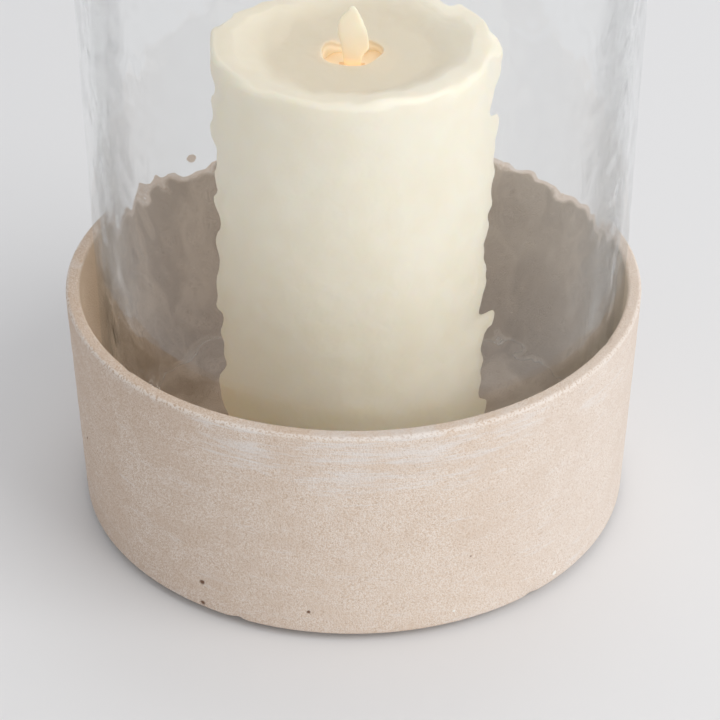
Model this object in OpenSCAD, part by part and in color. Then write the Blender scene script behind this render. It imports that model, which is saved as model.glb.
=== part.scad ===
// Hurricane candle lantern: a clay bowl, an open glass sleeve that stands in it, and a battery wax
// pillar candle with a hanging flame. Millimetres, +Z up. The origin is on the table, under the
// centre of the bowl. +Y is the back, so the candle's switch is at the front.

/* [Bowl] */
// Outer radius of the bowl at its rim
bowl_rim_r = 108; // [90:0.5:135]
// Height of the rim above the table
bowl_h = 91.6; // [60:0.2:120]
// Thickness of the wall at the rim
bowl_wall = 5.1; // [4:0.1:8]
// How much narrower the bowl is outside at its foot, as a radius
bowl_taper = 2; // [0:0.1:2.5]
// How much narrower the bowl is inside at its floor, as a radius
bowl_draft = 0.5; // [0:0.1:2]
// Height of the bowl's floor above the table
bowl_floor_z = 9.7; // [6:0.1:14]
// Width of the ring that the bowl's underside is hollowed within
bowl_foot_w = 10; // [5:0.5:20]
// Depth of the hollow under the bowl
bowl_hollow = 1; // [0.5:0.1:3]

/* [Felt pads] */
// Radius of each felt pad
pad_r = 10; // [6:0.5:16]
// Distance of the pads' centres from the bowl's axis
pad_pos_r = 78; // [40:1:88]
// How far the pads hold the bowl off the table
pad_proud = 3; // [0.4:0.1:5]
// Number of pads
pad_count = 4; // [3:1:8]

/* [Glass sleeve] */
// Height of the sleeve's top above the table
glass_top_z = 305; // [220:1:400]
// Thickness of the glass
glass_wall = 3.2; // [2:0.1:6]
// Mean gap between the sleeve and the bowl's wall
glass_gap = 3.3; // [1.5:0.1:12]
// Gap left on the side that the sleeve is pushed to
glass_near_gap = 0.6; // [0.4:0.1:1.5]

/* [Candle] */
// Diameter of the wax pillar
candle_d = 101.6; // [98:0.2:150]
// Height of the pillar
candle_h = 177.8; // [145:0.2:230]
// Thickness of the wax round the core
wax_wall = 6.8; // [4:0.1:8]
// Width of the raised lip round the top
lip_w = 10; // [6:0.5:16]
// Depth of the dished top below the lip
dish_depth = 5.3; // [3:0.1:12]
// Thickness of the wax over the core
wax_roof = 5; // [3:0.1:8]
// Radius of the well that the flame stands in
well_r = 11.5; // [9:0.1:12]

/* [Flame] */
// Height of the flame's tip above the dished top
flame_rise = 16.5; // [12:0.5:24]
// Width of the flame
flame_w = 8.2; // [7:0.1:10.5]
// Thickness of the flame
flame_t = 2; // [1.2:0.1:2.4]
// Depth of the flame's pivot below the top of the core
pivot_depth = 10; // [9.6:0.1:12]
// Length of the tail from the pivot to the magnet
tail_len = 14; // [12:0.5:20]
// Radius of the magnet under the tail
magnet_r = 3; // [2.6:0.1:3.4]
// Height of the magnet
magnet_h = 3.4; // [2.4:0.1:4]
// Radius of the wire that the flame hangs on
axle_r = 0.5; // [0.4:0.05:0.8]

/* [Batteries] */
// Radius of a cell
cell_r = 13.1; // [12:0.1:13.2]
// Length of a cell over its button
cell_len = 50; // [40:0.5:52]
// Height of a cell's button
cell_button_h = 1.5; // [1:0.1:2]
// Radius of a cell's button
cell_button_r = 3.75; // [2.5:0.05:5]
// Gap between a cell and its well
cell_gap = 0.3; // [0.2:0.05:0.5]

/* [Fits] */
// Gap between the core and the wax, and between moulded parts that stay put
core_gap = 0.4; // [0.2:0.05:0.8]
// Gap round the battery door and its lugs
door_gap = 0.3; // [0.2:0.05:0.5]
// Gap round the switch knob
knob_gap = 0.3; // [0.2:0.05:0.5]
// Gap between the flame's wire and its hole
axle_gap = 0.06; // [0.02:0.01:0.1]
// Travel of the switch knob
knob_travel = 4; // [2:0.5:5]

/* [Hidden] */
$fn = 96;
cut = 1;  // how far a cutting solid runs past the face it opens

// Bowl and sleeve
foot_r = bowl_rim_r - bowl_taper;
bowl_in_r = bowl_rim_r - bowl_wall;
bowl_floor_r = bowl_in_r - bowl_draft;
foot_edge = 1.2;
rim_edge = 1.4;
floor_fillet = 1.5;
under_z = pad_proud + bowl_hollow;
glass_r = bowl_floor_r - glass_gap;
glass_shift = glass_gap - glass_near_gap;

// Candle, from the bowl's floor up
candle_r = candle_d / 2;
lip_z = bowl_floor_z + candle_h;
dish_z = lip_z - dish_depth;
roof_z = dish_z - wax_roof;
core_top_z = roof_z - core_gap;
core_wall = 2;
core_r = candle_r - wax_wall - core_gap;
core_in_r = core_r - core_wall;
flange_t = 1.6;
wax_base_z = bowl_floor_z + flange_t;

// Battery box, from its underside up
box_z = bowl_floor_z + 0.5;
box_r = core_in_r - core_gap;
plate_t = 3;
door_t = 2.4;
door_rim_h = 4.6;
lug_z = box_z + door_t + 0.5;
lug_t = door_rim_h - door_t - 0.5;
lug_w = 7;
lug_reach = 1.8;
lug_turn = 35;
cell_x = cell_r + cell_gap + 0.8;
well_wall = 1.6;
cell_well_r = cell_r + cell_gap;
door_hole_r = cell_x + cell_well_r + 2.8;
door_r = door_hole_r - door_gap;
door_floor_z = box_z + door_t;
ring_r = door_hole_r + lug_reach + door_gap + 1.4;
ceiling_z = box_z + 7;
ceiling_t = 2;
strip_t = 0.4;
strip_z = box_z + 4.9;
cell_z = strip_z + strip_t + 0.3;
contact_room = 5.4;
well_top_z = cell_z + cell_len + contact_room;
box_top_z = well_top_z + well_wall;
tag_h = 4;
tag_y = 7;

// Screws that hold the box to the core
case_screw_a = [30, 90, 150];
case_screw_pos_r = box_r - 3.6;
screw_r = 1.25;
screw_head_r = 2.5;
screw_head_h = 1.6;
screw_gap = 0.1;
boss_r = 3.2;
boss_h = 12;
case_screw_len = 10;

// Switch, in front of the door
switch_y = -(ring_r + box_r) / 2;
switch_len = 9;
switch_w = 4;
switch_h = 4.5;
knob_len = 3.2;
knob_w = 1.8;
knob_drop = 2.4;
switch_z = box_z + plate_t;

// Flame unit, from the top of the core down
frame_r = well_r + 1.3;
frame_wall = 1.4;
bezel_t = 2.4;
bezel_r = frame_r;
core_hole_r = frame_r + 0.3;
frame_top_z = core_top_z - bezel_t;
pivot_z = core_top_z - pivot_depth;
tail_z = pivot_z - tail_len;
slot_x = flame_w / 2 + 1.2;
slot_y = flame_t / 2 + 0.9;
ear_x = frame_r + 9;
ear_t = 2;
ear_w = 10;
ear_boss_h = 6;
ear_z = core_top_z - core_wall - ear_boss_h - ear_t;
bobbin_h = 8;
bobbin_r = frame_r - frame_wall - 2.8;
bobbin_z = tail_z - magnet_h - 1.4 - bobbin_h;
bobbin_core_r = 3.6;
bobbin_flange_t = 1;
frame_floor_t = 1.6;
frame_floor_z = bobbin_z - frame_floor_t;
lead_r = 0.35;
lead_y = frame_r - frame_wall - 1.1;
led_r = 2.5;
led_flange_r = 2.9;
led_len = 7.6;
led_tilt = 26;
led_top = [0, -5.4, core_top_z - 0.2];

// Circuit board, under the flame unit
stand_h = 6;
stand_r = 2.4;
stand_x = 8;
board_t = 1.6;
board_z = frame_floor_z - stand_h - board_t;
board_x = 36;
board_y = 28;
wire_r = 0.7;
power_x = cell_x;
board_screw_len = 6;

// Points on an arc from angle a0 to a1 about [x, z]
function arc(x, z, r, a0, a1, n = 8) =
    [for (i = [0:n]) let (a = a0 + (a1 - a0) * i / n) [x + r * cos(a), z + r * sin(a)]];

// Half-width of the flame at share t of the way from its foot to its tip
function flame_half(t) = flame_w / 2 * (0.86 + 0.14 * sin(180 * t)) * sqrt(1 - pow(t, 3));

// A screw, head down, with its tip up
module screw(len) {
    cylinder(r = screw_head_r, h = screw_head_h);
    cylinder(r = screw_r, h = screw_head_h + len);
}

// A straight round lead between two points
module lead(from, to, r) {
    run = to - from;
    len = norm(run);
    translate(from)
        rotate([0, acos(run[2] / len), atan2(run[1], run[0])])
            cylinder(r = r, h = len, $fn = 24);
}

// Direction of the run from point i of a [y, z] path, held at the last run
function run_angle(path, i) =
    let (j = max(0, min(i, len(path) - 2)))
        atan2(path[j + 1][1] - path[j][1], path[j + 1][0] - path[j][0]);

// A lead at a fixed x that follows a [y, z] path, mitred where it bends
module bent_lead(x, path, r) {
    sides = 12;
    last = len(path) - 1;
    points = [for (i = [0:last])
        let (a = (run_angle(path, i - 1) + run_angle(path, i)) / 2,
             stretch = 1 / cos(a - run_angle(path, i)))
        for (k = [0:sides - 1])
            let (u = r * cos(360 * k / sides), v = r * stretch * sin(360 * k / sides))
                [x + u, path[i][0] - v * sin(a), path[i][1] + v * cos(a)]];
    skin = [for (i = [0:last - 1], k = [0:sides - 1])
        let (m = i * sides + k, n = i * sides + (k + 1) % sides) [m, n, n + sides, m + sides]];
    polyhedron(points, concat([[for (k = [sides - 1:-1:0]) k]], skin,
        [[for (k = [0:sides - 1]) last * sides + k]]));
}

// ---------------------------------------------------------------- bowl and sleeve

module base_bowl() {
    outline = concat(
        [[0, under_z], [foot_r - bowl_foot_w, under_z], [foot_r - bowl_foot_w, pad_proud]],
        arc(foot_r - foot_edge, pad_proud + foot_edge, foot_edge, -90, 0),
        arc(bowl_rim_r - rim_edge, bowl_h - rim_edge, rim_edge, 0, 90),
        arc(bowl_in_r + rim_edge, bowl_h - rim_edge, rim_edge, 90, 180),
        arc(bowl_floor_r - floor_fillet, bowl_floor_z + floor_fillet, floor_fillet, 0, -90),
        [[0, bowl_floor_z]]);
    color([0.82, 0.74, 0.67])
        rotate_extrude($fn = 180)
            polygon(outline);
}

module felt_pads() {
    color([0.42, 0.38, 0.34])
        for (i = [0:pad_count - 1])
            rotate([0, 0, 45 + 360 * i / pad_count])
                translate([pad_pos_r, 0, 0])
                    cylinder(r = pad_r, h = under_z);
}

module glass_sleeve() {
    edge = glass_wall / 2;
    color([0.85, 0.92, 0.95, 0.35])
        translate([glass_shift, 0, 0])
            rotate_extrude($fn = 180)
                union() {
                    translate([glass_r - glass_wall, bowl_floor_z + edge])
                        square([glass_wall, glass_top_z - bowl_floor_z - glass_wall]);
                    translate([glass_r - edge, bowl_floor_z + edge])
                        circle(r = edge, $fn = 32);
                    translate([glass_r - edge, glass_top_z - edge])
                        circle(r = edge, $fn = 32);
                }
}

// ---------------------------------------------------------------- candle body

module wax_shell() {
    soft = dish_depth * 0.45;
    lip_in_r = candle_r - lip_w;
    bore_r = core_r + core_gap;
    outline = concat(
        [[bore_r, wax_base_z]],
        arc(candle_r - 1.2, wax_base_z + 1.2, 1.2, -90, 0),
        arc(candle_r - soft, lip_z - soft, soft, 0, 90),
        arc(lip_in_r + soft, lip_z - soft, soft, 90, 180),
        arc(lip_in_r - soft, dish_z + soft, soft, 0, -90),
        arc(well_r + 0.8, dish_z - 0.8, 0.8, 90, 180),
        [[well_r, roof_z], [bore_r, roof_z]]);
    color([0.93, 0.9, 0.8])
        rotate_extrude($fn = 120)
            polygon(outline);
}

module core_housing() {
    boss_z = box_z + plate_t;
    color([0.9, 0.88, 0.82]) {
        difference() {
            union() {
                translate([0, 0, bowl_floor_z])
                    cylinder(r = core_r, h = core_top_z - bowl_floor_z);
                translate([0, 0, bowl_floor_z])
                    cylinder(r = candle_r - 0.8, h = flange_t);
            }
            translate([0, 0, bowl_floor_z - cut])
                cylinder(r = core_in_r, h = core_top_z - core_wall - bowl_floor_z + cut);
            translate([0, 0, core_top_z - core_wall - cut])
                cylinder(r = core_hole_r, h = core_wall + 2 * cut);
        }
        for (a = case_screw_a)
            rotate([0, 0, a])
                difference() {
                    union() {
                        translate([case_screw_pos_r, 0, boss_z])
                            cylinder(r = boss_r, h = boss_h);
                        translate([case_screw_pos_r, -1, boss_z])
                            cube([core_in_r + core_wall / 2 - case_screw_pos_r, 2, boss_h]);
                    }
                    translate([case_screw_pos_r, 0, boss_z - cut])
                        cylinder(r = screw_r + screw_gap, h = case_screw_len + cut);
                }
        for (side = [-1, 1])
            translate([side * ear_x, 0, ear_z + ear_t])
                difference() {
                    cylinder(r = boss_r, h = ear_boss_h);
                    translate([0, 0, -cut])
                        cylinder(r = screw_r + screw_gap, h = ear_boss_h - 1 + cut);
                }
    }
}

module bayonet_notches() {
    for (side = [0, 180])
        rotate([0, 0, side + lug_turn])
            translate([0, -(lug_w + 1) / 2, box_z - cut])
                cube([door_hole_r + lug_reach + door_gap, lug_w + 1, lug_z + lug_t - box_z + cut]);
}

module battery_box() {
    color([0.87, 0.85, 0.8])
        difference() {
            union() {
                translate([0, 0, box_z])
                    cylinder(r = box_r, h = plate_t);
                translate([0, 0, box_z])
                    cylinder(r = ring_r, h = ceiling_z + ceiling_t - box_z);
                for (side = [-1, 1])
                    translate([side * cell_x, 0, ceiling_z])
                        cylinder(r = cell_well_r + well_wall, h = box_top_z - ceiling_z);
            }
            translate([0, 0, box_z - cut])
                cylinder(r = door_hole_r, h = ceiling_z - box_z + cut);
            translate([0, 0, lug_z - door_gap])
                cylinder(r = door_hole_r + lug_reach + door_gap, h = lug_t + 2 * door_gap);
            bayonet_notches();
            for (side = [-1, 1])
                translate([side * cell_x, 0, 0]) {
                    translate([0, 0, ceiling_z - cut])
                        cylinder(r = cell_well_r, h = well_top_z - ceiling_z + cut);
                    translate([-2.5, tag_y - 0.6, well_top_z - cut])
                        cube([5, 1.2, well_wall + 2 * cut]);
                }
            for (a = case_screw_a)
                rotate([0, 0, a])
                    translate([case_screw_pos_r, 0, box_z - cut]) {
                        cylinder(r = screw_r + screw_gap, h = plate_t + 2 * cut);
                        cylinder(r = screw_head_r + screw_gap, h = screw_head_h + screw_gap + cut);
                    }
            translate([-knob_len / 2 - knob_gap, switch_y - knob_w / 2 - knob_gap, box_z - cut])
                cube([knob_len + knob_travel + 2 * knob_gap, knob_w + 2 * knob_gap,
                      plate_t + 2 * cut]);
        }
}

// A cell standing on its flat end
module cell() {
    cylinder(r = cell_r, h = cell_len - cell_button_h);
    cylinder(r = cell_button_r, h = cell_len);
}

module battery_cells() {
    color([0.72, 0.5, 0.25]) {
        translate([-cell_x, 0, cell_z])
            cell();
        translate([cell_x, 0, cell_z + cell_len])
            mirror([0, 0, 1])
                cell();
    }
}

// A tag that stands up through the roof of a cell's well
module tag() {
    translate([-2, tag_y - strip_t / 2, -strip_t])
        cube([4, strip_t, well_wall + tag_h + strip_t]);
}

module positive_contact() {
    reach = contact_room - 0.4;
    color([0.83, 0.82, 0.78])
        translate([-cell_x, 0, well_top_z - 0.05]) {
            translate([-4, -6, -strip_t])
                cube([8, tag_y + 6 + strip_t / 2, strip_t]);
            tag();
            translate([-3, -6, -strip_t])
                rotate([-atan2(reach - strip_t, 7), 0, 0])
                    cube([6, 7, strip_t]);
        }
}

// A ring of n points round a helix point, for a wire of radius w
function helix_ring(r, a, z, w, n) =
    [for (k = [0:n - 1]) let (b = 360 * k / n)
        [(r + w * cos(b)) * cos(a), (r + w * cos(b)) * sin(a), z + w * sin(b)]];

module conical_spring(r0, r1, h, w, turns) {
    sides = 8;
    steps = turns * 18;
    points = [for (i = [0:steps]) let (s = i / steps)
        each helix_ring(r0 + (r1 - r0) * s, 360 * turns * s, w + (h - 2 * w) * s, w, sides)];
    skin = [for (i = [0:steps - 1], k = [0:sides - 1])
        let (a = i * sides + k, b = i * sides + (k + 1) % sides) [a, b, b + sides, a + sides]];
    polyhedron(points, concat([[for (k = [sides - 1:-1:0]) k]], skin,
        [[for (k = [0:sides - 1]) steps * sides + k]]));
}

module negative_spring() {
    color([0.8, 0.8, 0.82]) {
        translate([cell_x, 0, well_top_z - 0.05]) {
            translate([-7, -2, -strip_t])
                cube([14, tag_y + 2 + strip_t / 2, strip_t]);
            tag();
        }
        translate([cell_x, 0, cell_z + cell_len + 0.1])
            conical_spring(3.4, 6, contact_room + 0.1 - strip_t, 0.5, 3);
    }
}

module power_leads() {
    low_z = box_top_z + tag_h - 1.2;
    for (side = [-1, 1])
        color(side < 0 ? "firebrick" : "black")
            lead([side * power_x, tag_y + strip_t / 2 + wire_r, low_z],
                 [side * power_x, tag_y + strip_t / 2 + wire_r, board_z], wire_r);
}

// ---------------------------------------------------------------- circuit board

module circuit_board() {
    color([0.16, 0.42, 0.24])
        difference() {
            translate([-board_x / 2, -board_y / 2, board_z])
                cube([board_x, board_y, board_t]);
            for (side = [-1, 1])
                translate([side * stand_x, 0, board_z - cut])
                    cylinder(r = screw_r + screw_gap, h = board_t + 2 * cut);
        }
}

module drive_chip() {
    chip = [5, 4, 1.5];
    color([0.12, 0.12, 0.13])
        translate([-chip[0] / 2, 3.4, board_z - chip[2]])
            cube(chip);
    color([0.8, 0.8, 0.8])
        for (side = [-1, 1], i = [-1:1])
            translate([i * 1.27 - 0.2, 5.4 + side * 2.4 - 0.4, board_z - 0.8])
                cube([0.4, 0.8, 0.8]);
}

module capacitor() {
    color([0.15, 0.2, 0.35])
        translate([10, -7, board_z - 8])
            cylinder(r = 2.5, h = 8);
}

module resistors() {
    color([0.75, 0.65, 0.5])
        for (i = [0:3])
            translate([-14 + i * 3.4, -9.6, board_z - 0.6])
                cube([1.6, 3.2, 0.6]);
}

module board_screws() {
    color([0.7, 0.7, 0.72])
        for (side = [-1, 1])
            translate([side * stand_x, 0, board_z - screw_head_h])
                screw(board_screw_len);
}

// ---------------------------------------------------------------- flame unit

// The lamp's outline, with its dome up, along its tilted axis
module led_body(r, flange_r) {
    translate(led_top)
        rotate([-led_tilt, 0, 0])
            translate([0, 0, -led_len]) {
                cylinder(r = r, h = led_len - r);
                translate([0, 0, led_len - r])
                    sphere(r = r);
                cylinder(r = flange_r, h = 1);
            }
}

module flame_frame() {
    inside_r = frame_r - frame_wall;
    color([0.86, 0.84, 0.78])
        difference() {
            union() {
                translate([0, 0, frame_floor_z])
                    cylinder(r = frame_r, h = frame_top_z - frame_floor_z);
                translate([-ear_x, -ear_w / 2, ear_z])
                    cube([2 * ear_x, ear_w, ear_t]);
                for (side = [-1, 1]) {
                    translate([side * ear_x, 0, ear_z])
                        cylinder(r = ear_w / 2, h = ear_t);
                    translate([side * stand_x, 0, board_z + board_t])
                        cylinder(r = stand_r, h = stand_h);
                }
            }
            translate([0, 0, bobbin_z])
                cylinder(r = inside_r, h = frame_top_z - bobbin_z + cut);
            for (side = [-1, 1]) {
                translate([side * ear_x, 0, ear_z - cut])
                    cylinder(r = screw_r + screw_gap, h = ear_t + 2 * cut);
                translate([side * stand_x, 0, board_z + board_t - cut])
                    cylinder(r = screw_r + screw_gap, h = board_screw_len - board_t + cut + 0.4);
                translate([-3, side * lead_y - 0.8, frame_floor_z - cut])
                    cube([6, 1.6, frame_floor_t + 2 * cut]);
            }
            translate([0, frame_r + cut, pivot_z])
                rotate([90, 0, 0])
                    cylinder(r = axle_r + 0.02, h = 2 * (frame_r + cut), $fn = 32);
        }
}

module flame_bezel() {
    color([0.83, 0.68, 0.45])
        difference() {
            translate([0, 0, frame_top_z])
                cylinder(r = bezel_r, h = bezel_t);
            translate([-slot_x, -slot_y, frame_top_z - cut])
                cube([2 * slot_x, 2 * slot_y, bezel_t + 2 * cut]);
            led_body(led_r + screw_gap, led_r + screw_gap);
        }
}

module frame_screws() {
    color([0.7, 0.7, 0.72])
        for (side = [-1, 1])
            translate([side * ear_x, 0, ear_z - screw_head_h])
                screw(ear_t + ear_boss_h - 2);
}

module flame_axle() {
    color([0.75, 0.75, 0.78])
        translate([0, frame_r, pivot_z])
            rotate([90, 0, 0])
                cylinder(r = axle_r, h = 2 * frame_r, $fn = 32);
}

module coil_bobbin() {
    color([0.2, 0.2, 0.22])
        translate([0, 0, bobbin_z])
            difference() {
                union() {
                    cylinder(r = bobbin_core_r, h = bobbin_h);
                    cylinder(r = bobbin_r, h = bobbin_flange_t);
                    translate([0, 0, bobbin_h - bobbin_flange_t])
                        cylinder(r = bobbin_r, h = bobbin_flange_t);
                }
                translate([0, 0, -cut])
                    cylinder(r = bobbin_core_r - 1.2, h = bobbin_h + 2 * cut);
            }
}

module coil_winding() {
    gap = 0.05;
    color([0.78, 0.42, 0.2])
        translate([0, 0, bobbin_z + bobbin_flange_t + gap])
            difference() {
                cylinder(r = bobbin_r - 0.7, h = bobbin_h - 2 * bobbin_flange_t - 2 * gap);
                translate([0, 0, -cut])
                    cylinder(r = bobbin_core_r + gap, h = bobbin_h + cut);
            }
}

module coil_leads() {
    color([0.78, 0.42, 0.2])
        for (side = [-1, 1])
            lead([side * 2, lead_y, bobbin_z + 2], [side * 2, lead_y, board_z + board_t], lead_r);
}

module led_lamp() {
    color([0.98, 0.9, 0.6])
        led_body(led_r, led_flange_r);
}

module led_leads() {
    foot_y = led_top[1] - led_len * sin(led_tilt);
    foot_z = led_top[2] - led_len * cos(led_tilt) - 0.9;
    color([0.75, 0.75, 0.78])
        for (side = [-1, 1])
            lead([side * 1.27, foot_y, foot_z], [side * 1.27, -lead_y, board_z + board_t + 0.1],
                 lead_r);
}

module flame_tongue() {
    steps = 28;
    foot_z = core_top_z - 1;
    tip_z = dish_z + flame_rise;
    neck = 3;
    tail = 1.5;
    right = concat(
        [[tail, tail_z], [tail, pivot_z - 6], [neck, pivot_z - 3], [neck, pivot_z + 2.5]],
        [for (i = [0:steps]) let (t = i / steps) [flame_half(t), foot_z + (tip_z - foot_z) * t]]);
    left = [for (i = [len(right) - 2:-1:0]) [-right[i][0], right[i][1]]];
    color([0.97, 0.9, 0.76])
        difference() {
            translate([0, flame_t / 2, 0])
                rotate([90, 0, 0])
                    linear_extrude(height = flame_t)
                        polygon(concat(right, left));
            translate([0, flame_t, pivot_z])
                rotate([90, 0, 0])
                    cylinder(r = axle_r + axle_gap, h = 2 * flame_t, $fn = 32);
        }
}

module flame_magnet() {
    color([0.78, 0.78, 0.8])
        translate([0, 0, tail_z - magnet_h])
            cylinder(r = magnet_r, h = magnet_h);
}

// ---------------------------------------------------------------- switch, door and screws

module switch_body() {
    color([0.75, 0.75, 0.77])
        translate([knob_travel / 2 - switch_len / 2, switch_y - switch_w / 2,
                   switch_z + knob_gap])
            cube([switch_len, switch_w, switch_h]);
}

module switch_knob() {
    color([0.1, 0.1, 0.11])
        translate([-knob_len / 2, switch_y - knob_w / 2, switch_z - knob_drop])
            cube([knob_len, knob_w, knob_drop]);
}

module switch_leads() {
    rise_z = board_z - 20;
    end_y = 2 - board_y / 2;
    start_z = switch_z + knob_gap + switch_h;
    color([0.15, 0.15, 0.16])
        for (side = [-1, 1])
            bent_lead(knob_travel / 2 + side * 2.5,
                      [[switch_y, start_z], [switch_y, rise_z], [end_y, board_z - 3],
                       [end_y, board_z]], wire_r);
}

module case_screws() {
    color([0.7, 0.7, 0.72])
        for (a = case_screw_a)
            rotate([0, 0, a])
                translate([case_screw_pos_r, 0, box_z])
                    screw(case_screw_len - 1);
}

module battery_door() {
    color([0.85, 0.83, 0.78])
        difference() {
            union() {
                translate([0, 0, box_z])
                    cylinder(r = door_r, h = door_rim_h);
                for (side = [0, 180])
                    rotate([0, 0, side])
                        translate([door_r - 2, -lug_w / 2, lug_z])
                            cube([lug_reach + 2, lug_w, lug_t]);
            }
            translate([0, 0, door_floor_z])
                difference() {
                    cylinder(r = door_r - 2.2, h = door_rim_h);
                    translate([-cell_x - 6, -5, -cut])
                        cube([2 * cell_x + 12, 10, strip_z - door_floor_z + cut]);
                }
            translate([-9, -1.2, box_z - cut])
                cube([18, 2.4, 1.2 + cut]);
        }
    color([0.85, 0.83, 0.78])
        translate([-cell_x - 5.5, -4.5, door_floor_z - 0.2])
            cube([2 * cell_x + 11, 9, strip_z - door_floor_z + 0.2]);
}

module bridge_contact() {
    color([0.83, 0.82, 0.78])
        translate([-cell_x - 4, -3.5, strip_z])
            cube([2 * cell_x + 8, 7, strip_t]);
}

base_bowl();
felt_pads();
glass_sleeve();
wax_shell();
core_housing();
battery_box();
battery_cells();
positive_contact();
negative_spring();
power_leads();
circuit_board();
drive_chip();
capacitor();
resistors();
board_screws();
flame_frame();
flame_bezel();
frame_screws();
flame_axle();
coil_bobbin();
coil_winding();
coil_leads();
led_lamp();
led_leads();
switch_body();
switch_leads();
case_screws();
flame_tongue();
flame_magnet();
battery_door();
bridge_contact();
switch_knob();
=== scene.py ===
"""Hurricane lantern: a limewashed clay bowl, a hammered glass sleeve that stands in it, and a
battery wax candle whose plastic flame hangs on a wire. Lengths are metres; MM turns millimetres
into them. Names that end in _Z are heights above the table."""
import math

import bpy
import numpy as np
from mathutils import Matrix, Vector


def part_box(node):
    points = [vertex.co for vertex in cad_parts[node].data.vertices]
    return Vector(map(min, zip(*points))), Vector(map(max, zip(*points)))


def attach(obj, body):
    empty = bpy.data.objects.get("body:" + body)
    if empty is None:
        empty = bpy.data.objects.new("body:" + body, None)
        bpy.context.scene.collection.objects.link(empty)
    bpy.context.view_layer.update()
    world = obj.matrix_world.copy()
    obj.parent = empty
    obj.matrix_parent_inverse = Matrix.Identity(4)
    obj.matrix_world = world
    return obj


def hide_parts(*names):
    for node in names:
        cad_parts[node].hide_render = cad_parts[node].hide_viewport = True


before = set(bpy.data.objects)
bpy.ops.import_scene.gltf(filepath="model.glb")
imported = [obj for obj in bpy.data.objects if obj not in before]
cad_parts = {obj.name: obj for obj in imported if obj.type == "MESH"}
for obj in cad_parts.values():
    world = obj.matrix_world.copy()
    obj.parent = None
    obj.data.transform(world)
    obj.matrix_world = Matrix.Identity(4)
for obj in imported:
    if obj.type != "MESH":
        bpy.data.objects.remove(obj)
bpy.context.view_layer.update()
MM = 0.001
TAU = 2 * math.pi


# ------------------------------------------------------------------ sizes, taken from the frame
def low(node):
    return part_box(node)[0]


def high(node):
    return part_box(node)[1]


RIM_R = high("base_bowl")[0]
RIM_Z = high("base_bowl")[2]
FOOT_Z = low("base_bowl")[2]
UNDER_Z = high("felt_pads")[2]
FLOOR_Z = low("glass_sleeve")[2]
GLASS_R = (high("glass_sleeve")[0] - low("glass_sleeve")[0]) / 2
GLASS_X = (high("glass_sleeve")[0] + low("glass_sleeve")[0]) / 2
GLASS_TOP = high("glass_sleeve")[2]
CANDLE_R = high("wax_shell")[0]
WAX_BASE_Z = low("wax_shell")[2]
LIP_Z = high("wax_shell")[2]
CORE_TOP = high("core_housing")[2]
PIVOT_Z = (high("flame_axle")[2] + low("flame_axle")[2]) / 2
FLAME_TIP = high("flame_tongue")[2]
TAIL_Z = low("flame_tongue")[2]

BOWL_WALL = 5.1 * MM      # thickness at the rim
BOWL_DRAFT = 0.5 * MM     # the floor is this much narrower inside than the rim
BOWL_TAPER = 2.0 * MM     # the foot is this much narrower outside than the rim
FOOT_RING = 10 * MM       # width of the ring the bowl stands on
GLASS_WALL = 3.2 * MM
CORE_BORE = 44.0 * MM     # inside radius of the wax, round the core
LIP_W = 10 * MM           # width of the wax lip round the dished top
LIP_SLOPE = 17 * MM       # how far the lip takes to run down to the dished top
DISH_DEPTH = 5.3 * MM
WAX_ROOF = 5 * MM         # thickness of the wax over the core
WELL_R = 11.5 * MM        # inside radius of the well that the flame stands in
DISH_Z = LIP_Z - DISH_DEPTH

SURFACE_STEP = 2.2 * MM   # longest step along the bowl's and the wax's section
BOWL_AROUND = 500         # points round each turned surface
SLEEVE_AROUND = 440
WAX_AROUND = 360
SLEEVE_ROWS_OUT = 186     # rows up the sleeve's outside, which carries the marks
SLEEVE_ROWS_IN = 24


# ------------------------------------------------------------------ surfaces
def shade_smooth(mesh):
    """Shades every face as part of a curved surface."""
    mesh.polygons.foreach_set("use_smooth", np.ones(len(mesh.polygons), bool))


def rings_to_mesh(name, rings, loop):
    """Joins ring i to ring i + 1 with quads. rings is an array [ring, place round it, xyz]. loop
    joins the last ring to the first, as on a tube's closed section; otherwise each end closes in a
    fan on the mean of its ring."""
    count, around = rings.shape[:2]
    index = np.arange(count * around).reshape(count, around)
    nearer = index if loop else index[:-1]
    further = np.roll(index, -1, 0) if loop else index[1:]
    quads = np.stack([nearer, np.roll(nearer, -1, 1), np.roll(further, -1, 1), further], -1)
    faces = quads.reshape(-1, 4).tolist()
    points = rings.reshape(-1, 3)
    if not loop:
        poles = np.stack([rings[0].mean(0), rings[-1].mean(0)])
        points = np.concatenate([points, poles])
        first, last = count * around, count * around + 1
        faces += np.stack([np.roll(index[0], -1), index[0], np.full(around, first)], -1).tolist()
        faces += np.stack([index[-1], np.roll(index[-1], -1), np.full(around, last)], -1).tolist()
    mesh = bpy.data.meshes.new(name)
    mesh.from_pydata(points.tolist(), [], faces)
    mesh.update()
    shade_smooth(mesh)
    return mesh


def add_piece(name, mesh, material, body, slot, *nodes):
    """Puts the mesh in the scene as a piece that rides on a body and stands for the CAD nodes."""
    piece = bpy.data.objects.new(name, mesh)
    bpy.context.scene.collection.objects.link(piece)
    mesh.materials.append(material)
    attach(piece, body)
    if nodes:
        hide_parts(*nodes)
    return piece


def join(name, meshes, material, body, slot, *nodes):
    """One piece from several closed surfaces; their own meshes are removed."""
    points, faces, start = [], [], 0
    for mesh in meshes:
        flat = np.empty(len(mesh.vertices) * 3)
        mesh.vertices.foreach_get("co", flat)
        points.append(flat.reshape(-1, 3))
        faces += [tuple(start + v for v in face.vertices) for face in mesh.polygons]
        start += len(mesh.vertices)
        bpy.data.meshes.remove(mesh)
    whole = bpy.data.meshes.new(name)
    whole.from_pydata(np.concatenate(points).tolist(), [], faces)
    whole.update()
    shade_smooth(whole)
    return add_piece(name, whole, material, body, slot, *nodes)


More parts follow.
